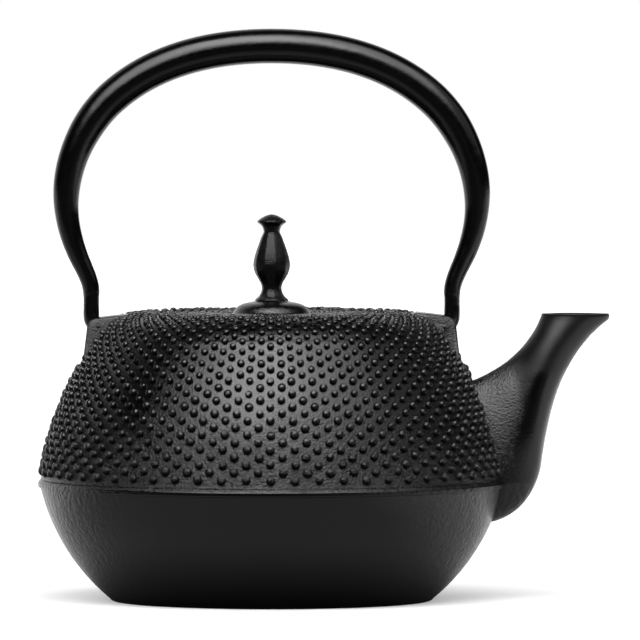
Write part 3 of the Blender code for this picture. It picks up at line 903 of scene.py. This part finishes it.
# How far the boss's middle rises into the knob's foot, so that the uneven casting leaves no gap there
BOSS_CONTACT = 0.00018
LID_EDGE = 0.0009
LID_EDGE_TOP = 0.1099
LID_DOME_TOP = 0.1104
LID_UNDERSIDE = 0.1086
SKIRT_OUTER_RADIUS = 0.0380
SKIRT_INNER_RADIUS = 0.0354
SKIRT_BOTTOM = LID_LOW[2]
VENT_OFFSET = 0.0109
VENT_RADIUS = 0.0014
RIVET_HOLE_RADIUS = 0.0023
RIVET_RADIUS = 0.0020
RIVET_HEAD_DEPTH = 0.0015
RIVET_DOME_RADIUS = 0.0057
WASHER_RADIUS = 0.0065


def build_lid(material):
    bm = bmesh.new()
    outer = LID_RADIUS - LID_EDGE
    inner = BOSS_FOOT_RADIUS + 0.0003
    rise = LID_DOME_TOP - LID_EDGE_TOP
    dome = []
    for step in range(21):
        t = step / 20
        dome.append((outer + (inner - outer) * t, LID_EDGE_TOP + rise * math.sin(t * math.pi / 2)))
    lattice = Lattice(bm, Skin(dome), LID_DOTS, ROW_PITCH)
    lattice.build(lambda cells, u, v: hobnail(cells, u, v, lambda angle, r, z: False))
    boss = [
        (0.0155, LID_DOME_TOP + 0.0002),
        (0.0150, LID_DOME_TOP + 0.0006),
        (0.0146, LID_DOME_TOP + 0.0011),
        (0.0142, 0.1122),
        (0.0136, 0.1130),
        (0.0128, 0.1137),
        (0.0118, 0.1142),
        (0.0108, 0.1146),
        (0.0096, 0.1149),
        (0.0080, BOSS_TOP - 0.0001),
        (0.0066, BOSS_TOP + BOSS_CONTACT),
        (RIVET_HOLE_RADIUS, BOSS_TOP + BOSS_CONTACT),
    ]
    above = carried(bm, lattice.edge_ring(lattice.last), boss, True)
    skirt = [
        (LID_RADIUS - 0.0003, LID_EDGE_TOP - 0.0002),
        (LID_RADIUS, LID_EDGE_TOP - 0.0006),
        (LID_RADIUS, LID_UNDERSIDE + 0.0003),
        (LID_RADIUS - 0.0003, LID_UNDERSIDE),
        (SKIRT_OUTER_RADIUS, LID_UNDERSIDE),
        (SKIRT_OUTER_RADIUS, SKIRT_BOTTOM + 0.0004),
        (SKIRT_OUTER_RADIUS - 0.0004, SKIRT_BOTTOM),
        (SKIRT_INNER_RADIUS + 0.0004, SKIRT_BOTTOM),
        (SKIRT_INNER_RADIUS, SKIRT_BOTTOM + 0.0004),
        (SKIRT_INNER_RADIUS, LID_UNDERSIDE - 0.0006),
        (SKIRT_INNER_RADIUS - 0.0006, LID_UNDERSIDE),
        (RIVET_HOLE_RADIUS, LID_UNDERSIDE),
    ]
    below = carried(bm, lattice.edge_ring(0), skirt, False)
    count = len(below)
    nearest = min(range(count), key=lambda k: (above[k].co - below[0].co).to_2d().length)
    for i in range(count):
        j = (i + 1) % count
        bm.faces.new((above[(i + nearest) % count], above[(j + nearest) % count], below[j], below[i]))
    bmesh.ops.recalc_face_normals(bm, faces=bm.faces)
    lid = object_from("lid_hobnailed", bm)
    vent_low = (0, VENT_OFFSET, LID_UNDERSIDE - 0.002)
    vent_high = (0, VENT_OFFSET, BOSS_TOP + 0.002)
    joined(lid, [(rod("vent_form", VENT_RADIUS, vent_low, vent_high, 24), "DIFFERENCE")])
    uneven(lid, 0.00008)
    shade(lid, 42)
    placed(lid, material, "lid", "lid_with_knob")


KNOB_SIDES = 10
KNOB_TURN_DEGREES = -22.0
# (radius, height above the foot) of a flared foot, a waist, a pear-shaped belly, a neck and a pointed cap
KNOB_OUTLINE = (
    (0.00650, 0.0), (0.00655, 0.0004), (0.00600, 0.0009), (0.00510, 0.0017),
    (0.00435, 0.0028), (0.00395, 0.0040), (0.00382, 0.0050), (0.00400, 0.0060),
    (0.00448, 0.0073), (0.00540, 0.0088), (0.00628, 0.0103), (0.00690, 0.0120),
    (0.00718, 0.0137), (0.00700, 0.0154), (0.00662, 0.0172), (0.00595, 0.0194),
    (0.00520, 0.0215), (0.00445, 0.0236), (0.00370, 0.0253), (0.00322, 0.0262),
    (0.00310, 0.0269), (0.00328, 0.0277), (0.00380, 0.0289), (0.00480, 0.0298),
    (0.00560, 0.0303), (0.00548, 0.0309), (0.00400, 0.0320), (0.00220, 0.0329),
)


def build_knob(material):
    foot = KNOB_LOW[2]
    top = KNOB_HIGH[2]
    bore_top = RIVET_HIGH[2] + 0.0003
    outline = [(0, bore_top), (RIVET_HOLE_RADIUS, bore_top), (RIVET_HOLE_RADIUS, foot)]
    outline += [(radius, foot + height) for radius, height in KNOB_OUTLINE]
    outline += [(0.0008, top - 0.0001), (0, top)]
    knob = turned("knob_ten_sided", outline, KNOB_SIDES, sharp_degrees=22)
    knob.data.transform(Matrix.Rotation(math.radians(KNOB_TURN_DEGREES), 4, "Z"))
    bevel = knob.modifiers.new("worn edges", "BEVEL")
    bevel.width = 0.00035
    bevel.segments = 2
    bevel.limit_method = "ANGLE"
    bevel.angle_limit = math.radians(26)
    applied(knob)
    shade(knob, 24)
    placed(knob, material, "lid_knob", "lid_with_knob")


def build_fastener(material):
    """The rivet that holds the knob, with its domed head under the lid, and its washer."""
    head_top = RIVET_LOW[2] + RIVET_HEAD_DEPTH
    dome = arc_line((0, head_top + 0.0042), RIVET_DOME_RADIUS, -math.pi / 2, -math.radians(45), 10)
    dome[0] = (0, dome[0][1])
    outline = [*dome, (RIVET_RADIUS, head_top), (RIVET_RADIUS, RIVET_HIGH[2]), (0, RIVET_HIGH[2])]
    rivet = turned("rivet_domed", outline, 40)
    low = WASHER_LOW[2]
    high = WASHER_HIGH[2]
    edge = WASHER_RADIUS - 0.0003
    washer_outline = [
        (RIVET_HOLE_RADIUS, low), (edge, low), (WASHER_RADIUS, low + 0.0002),
        (WASHER_RADIUS, high - 0.0002), (edge, high), (RIVET_HOLE_RADIUS, high),
    ]
    washer = turned("washer_round", washer_outline, 48, closed=True)
    placed(rivet, material, "knob_rivet", "lid_with_knob")
    placed(washer, material, "knob_washer", "lid_with_knob")


# ---- infuser ----

SHEET = 0.0005
INFUSER_HOLES = 90
FLOOR_HOLES = 60
HOLE_ROW_PITCH = 0.5
HOLE_SHARE = 0.27
WALL_TAPER = 0.0053
FLOOR_MIDDLE = 0.0040


def pierced(lattice, u, v):
    """One cell of sheet with a round hole through it."""
    r = lattice.skin.at(lattice.places[v])[0]
    hole = lattice.circle(u, v, HOLE_SHARE * math.tau * r / lattice.count, 0.0)
    bridge(lattice.bm, lattice.diamond(u, v), hole)


def perforated(line, count, inside_line=()):
    """A skin of pierced sheet along a line, carried on without holes past its last row."""
    bm = bmesh.new()
    lattice = Lattice(bm, Skin(line), count, HOLE_ROW_PITCH)
    lattice.build(pierced)
    return bm, lattice, carried(bm, lattice.edge_ring(lattice.last), inside_line, True)


def thickened(obj):
    sheet = obj.modifiers.new("sheet", "SOLIDIFY")
    sheet.thickness = SHEET
    sheet.offset = 0.0
    applied(obj)
    shade(obj, 40)


def build_collar():
    """The steel ring that hangs on the seat, with its rolled upper edge."""
    collar = RIM_HIGH[0] - 0.0047
    low = RIM_LOW[2]
    high = RIM_HIGH[2]
    outline = [
        (collar - SHEET, low + 0.0001),
        (collar - SHEET / 2, low),
        (collar, low + 0.0001),
        (collar, high - 0.0010),
        (collar + 0.0004, high - SHEET),
        (RIM_HIGH[0] - 0.0002, high - SHEET),
        (RIM_HIGH[0], high - SHEET / 2),
        (RIM_HIGH[0] - 0.0002, high),
        (collar, high),
        (collar - 0.0004, high - 0.0003),
        (collar - SHEET, high - 0.0009),
    ]
    return turned("infuser_collar", outline, 128, closed=True)


def build_infuser_wall():
    """The pierced wall, which widens upwards and ends in a plain band inside the collar."""
    top_radius = WALL_HIGH[0] - SHEET / 2
    bottom_radius = top_radius - WALL_TAPER
    bend = RIM_LOW[2] - 0.0015
    foot = WALL_LOW[2] + 0.0006
    line = []
    for step in range(25):
        t = step / 24
        line.append((bottom_radius + (top_radius - bottom_radius) * t, foot + (bend - foot) * t))
    band = [(top_radius, (bend + WALL_HIGH[2]) / 2), (top_radius, WALL_HIGH[2])]
    bm, lattice, _ = perforated(line, INFUSER_HOLES, band)
    carried(bm, lattice.edge_ring(0), [(bottom_radius, WALL_LOW[2] + 0.0001)], False)
    wall = object_from("infuser_mesh_wall", bm)
    thickened(wall)
    return wall


def build_infuser_floor():
    """The pierced floor, with a plain middle and an edge turned up against the wall."""
    base = FLOOR_LOW[2] + SHEET / 2
    outer = FLOOR_HIGH[0] - SHEET / 2
    start = outer - 0.0012
    line = [(start + (FLOOR_MIDDLE - start) * step / 32, base) for step in range(33)]
    bm, lattice, middle = perforated(line, FLOOR_HOLES)
    cap(bm, middle, base, True)
    edge = [(outer - 0.0003, base + 0.0001), (outer, base + 0.0005), (outer, FLOOR_HIGH[2] - SHEET / 4)]
    carried(bm, lattice.edge_ring(0), edge, False)
    floor = object_from("infuser_mesh_floor", bm)
    thickened(floor)
    return floor


def build_infuser(material):
    placed(build_collar(), material, "infuser_rim", "infuser")
    placed(build_infuser_wall(), material, "infuser_wall", "infuser")
    placed(build_infuser_floor(), material, "infuser_floor", "infuser")


# ---- studio ----

FLOOR_ALBEDO = 0.80
FLOOR_GLOW = 0.35
ROOM_LUMINANCE = 0.008
# Each soft light in the reflections: azimuth, elevation, reach in degrees, luminance at its centre
SOFT_LIGHTS = ((-24, 45, 35, 4.4), (26, 55, 37, 2.9))
SOFT_CORE = 12
# The backdrop: where its middle is, left of straight behind, and the cosine at which it ends
BACKDROP_TURN = math.radians(20)
BACKDROP_EDGE = 0.45
LIGHT_TARGET = (0, 0, 0.09)
CAMERA_TARGET = (0.01865, 0, 0.1082)
CAMERA_DISTANCE = 4.0
CAMERA_HEIGHT = 0.232
FRAME_WIDTH = 0.247


def aim(obj, target):
    obj.rotation_mode = "QUATERNION"
    obj.rotation_quaternion = (Vector(target) - obj.location).to_track_quat("-Z", "Y")


def direction(azimuth, elevation):
    """Azimuth 0 is on the camera's side, and positive is to its right."""
    a = math.radians(azimuth - 90)
    e = math.radians(elevation)
    return Vector((math.cos(e) * math.cos(a), math.cos(e) * math.sin(a), math.sin(e)))


def softbox(name, azimuth, elevation, distance, width, height, power):
    """An area light that faces the pot."""
    light = bpy.data.lights.new(name, "AREA")
    light.shape = "RECTANGLE"
    light.size = width
    light.size_y = height
    light.energy = power
    obj = bpy.data.objects.new(name, light)
    bpy.context.scene.collection.objects.link(obj)
    obj.location = Vector(LIGHT_TARGET) + distance * direction(azimuth, elevation)
    aim(obj, LIGHT_TARGET)


def build_floor():
    """A white floor. In the iron's reflections it glows with painted light, dim in front and bright behind,
    with a painted shadow dark at the base.
    """
    bm = bmesh.new()
    bmesh.ops.create_grid(bm, x_segments=2, y_segments=2, size=6.0)
    floor = object_from("floor", bm)
    floor.location.z = -0.0001
    n = Nodes("pale_floor")
    tree = n.tree
    seen = tree.nodes.new("ShaderNodeBsdfDiffuse")
    seen.inputs["Color"].default_value = (FLOOR_ALBEDO, FLOOR_ALBEDO, FLOOR_ALBEDO, 1)
    glow = tree.nodes.new("ShaderNodeEmission")
    glow.inputs["Strength"].default_value = FLOOR_GLOW
    both = tree.nodes.new("ShaderNodeAddShader")
    squares = n.math("ADD", n.math("POWER", n.axis("X"), 2.0), n.math("POWER", n.axis("Y"), 2.0))
    # Painted shadow: the glow seen in reflections fades to dark near the base.
    clear_of_painted_shadow = n.ramp(n.math("SQRT", squares), 0.056, 0.105, 0.0, 1.0, True)
    behind = n.ramp(n.axis("Y"), -0.05, 0.25, 0.36, 1.0, True)
    to_the_right = n.ramp(n.axis("X"), 0.08, 0.24, 0.36, 0.85, True)
    near_front = n.ramp(n.axis("Y"), -0.50, -0.14, 0.12, 1.0, True)
    # Painted light: for reflected rays the floor glows with these gradients, though it is no lamp.
    painted_reflection_glow = tree.nodes.new("ShaderNodeEmission")
    brightness = n.product(clear_of_painted_shadow, n.math("MAXIMUM", behind, to_the_right), near_front)
    n.link(brightness, painted_reflection_glow.inputs["Strength"])
    path = tree.nodes.new("ShaderNodeLightPath")
    mix = tree.nodes.new("ShaderNodeMixShader")
    tree.links.new(seen.outputs[0], both.inputs[0])
    tree.links.new(glow.outputs[0], both.inputs[1])
    tree.links.new(path.outputs["Is Camera Ray"], mix.inputs[0])
    tree.links.new(painted_reflection_glow.outputs[0], mix.inputs[1])
    tree.links.new(both.outputs[0], mix.inputs[2])
    tree.links.new(mix.outputs[0], tree.nodes["Material Output"].inputs["Surface"])
    tree.nodes.remove(n.shader)
    floor.data.materials.append(n.material)


def build_world():
    """A white backdrop behind, a dark room in front, and the soft lights. The camera sees only white."""
    world = bpy.data.worlds.new("studio")
    world.use_nodes = True
    bpy.context.scene.world = world
    tree = world.node_tree
    background = tree.nodes["Background"]
    place = tree.nodes.new("ShaderNodeTexCoord")
    facing = tree.nodes.new("ShaderNodeVectorMath")
    facing.operation = "DOT_PRODUCT"
    facing.inputs[1].default_value = (-math.sin(BACKDROP_TURN), math.cos(BACKDROP_TURN), 0)
    tree.links.new(place.outputs["Generated"], facing.inputs[0])
    back = tree.nodes.new("ShaderNodeMapRange")
    back.inputs["From Min"].default_value = BACKDROP_EDGE
    back.inputs["From Max"].default_value = 1.0
    back.inputs["To Min"].default_value = ROOM_LUMINANCE
    back.inputs["To Max"].default_value = 1.0
    tree.links.new(facing.outputs["Value"], back.inputs["Value"])
    total = back.outputs["Result"]
    for azimuth, elevation, reach, luminance in SOFT_LIGHTS:
        toward = tree.nodes.new("ShaderNodeVectorMath")
        toward.operation = "DOT_PRODUCT"
        toward.inputs[1].default_value = direction(azimuth, elevation)
        tree.links.new(place.outputs["Generated"], toward.inputs[0])
        soft = tree.nodes.new("ShaderNodeMapRange")
        soft.interpolation_type = "SMOOTHSTEP"
        soft.inputs["From Min"].default_value = math.cos(math.radians(reach))
        soft.inputs["From Max"].default_value = math.cos(math.radians(SOFT_CORE))
        soft.inputs["To Min"].default_value = 0.0
        soft.inputs["To Max"].default_value = luminance
        tree.links.new(toward.outputs["Value"], soft.inputs["Value"])
        both = tree.nodes.new("ShaderNodeMath")
        tree.links.new(total, both.inputs[0])
        tree.links.new(soft.outputs["Result"], both.inputs[1])
        total = both.outputs["Value"]
    path = tree.nodes.new("ShaderNodeLightPath")
    strength = tree.nodes.new("ShaderNodeMix")
    strength.data_type = "FLOAT"
    tree.links.new(path.outputs["Is Camera Ray"], strength.inputs["Factor"])
    tree.links.new(total, strength.inputs[2])
    strength.inputs[3].default_value = 1.0
    tree.links.new(strength.outputs[0], background.inputs["Strength"])
    background.inputs["Color"].default_value = (1, 1, 1, 1)


def build_camera():
    target = Vector(CAMERA_TARGET)
    lens = bpy.data.cameras.new("camera")
    camera = bpy.data.objects.new("camera", lens)
    bpy.context.scene.collection.objects.link(camera)
    camera.location = (target.x, -CAMERA_DISTANCE, CAMERA_HEIGHT)
    aim(camera, target)
    lens.sensor_width = 36.0
    lens.lens = lens.sensor_width * (camera.location - target).length / FRAME_WIDTH
    lens.clip_end = 50
    bpy.context.scene.camera = camera


def main():
    iron = cast_iron_material()
    build_pot(iron)
    build_handle(bar_material())
    build_lid(iron)
    build_knob(knob_material())
    build_fastener(steel_material("steel_blackened", grey(0.05), grey(0.10), 0.35, 0.55))
    build_infuser(steel_material("steel_stainless", (0.50, 0.50, 0.49), (0.66, 0.66, 0.65), 0.18, 0.34))
    build_floor()
    build_world()
    softbox("key_softbox", azimuth=0, elevation=57, distance=1.4, width=1.0, height=0.9, power=2.0)
    softbox("right_fill", azimuth=72, elevation=38, distance=1.6, width=1.6, height=1.2, power=2.4)
    build_camera()
    bpy.context.scene.view_settings.view_transform = "Standard"


main()
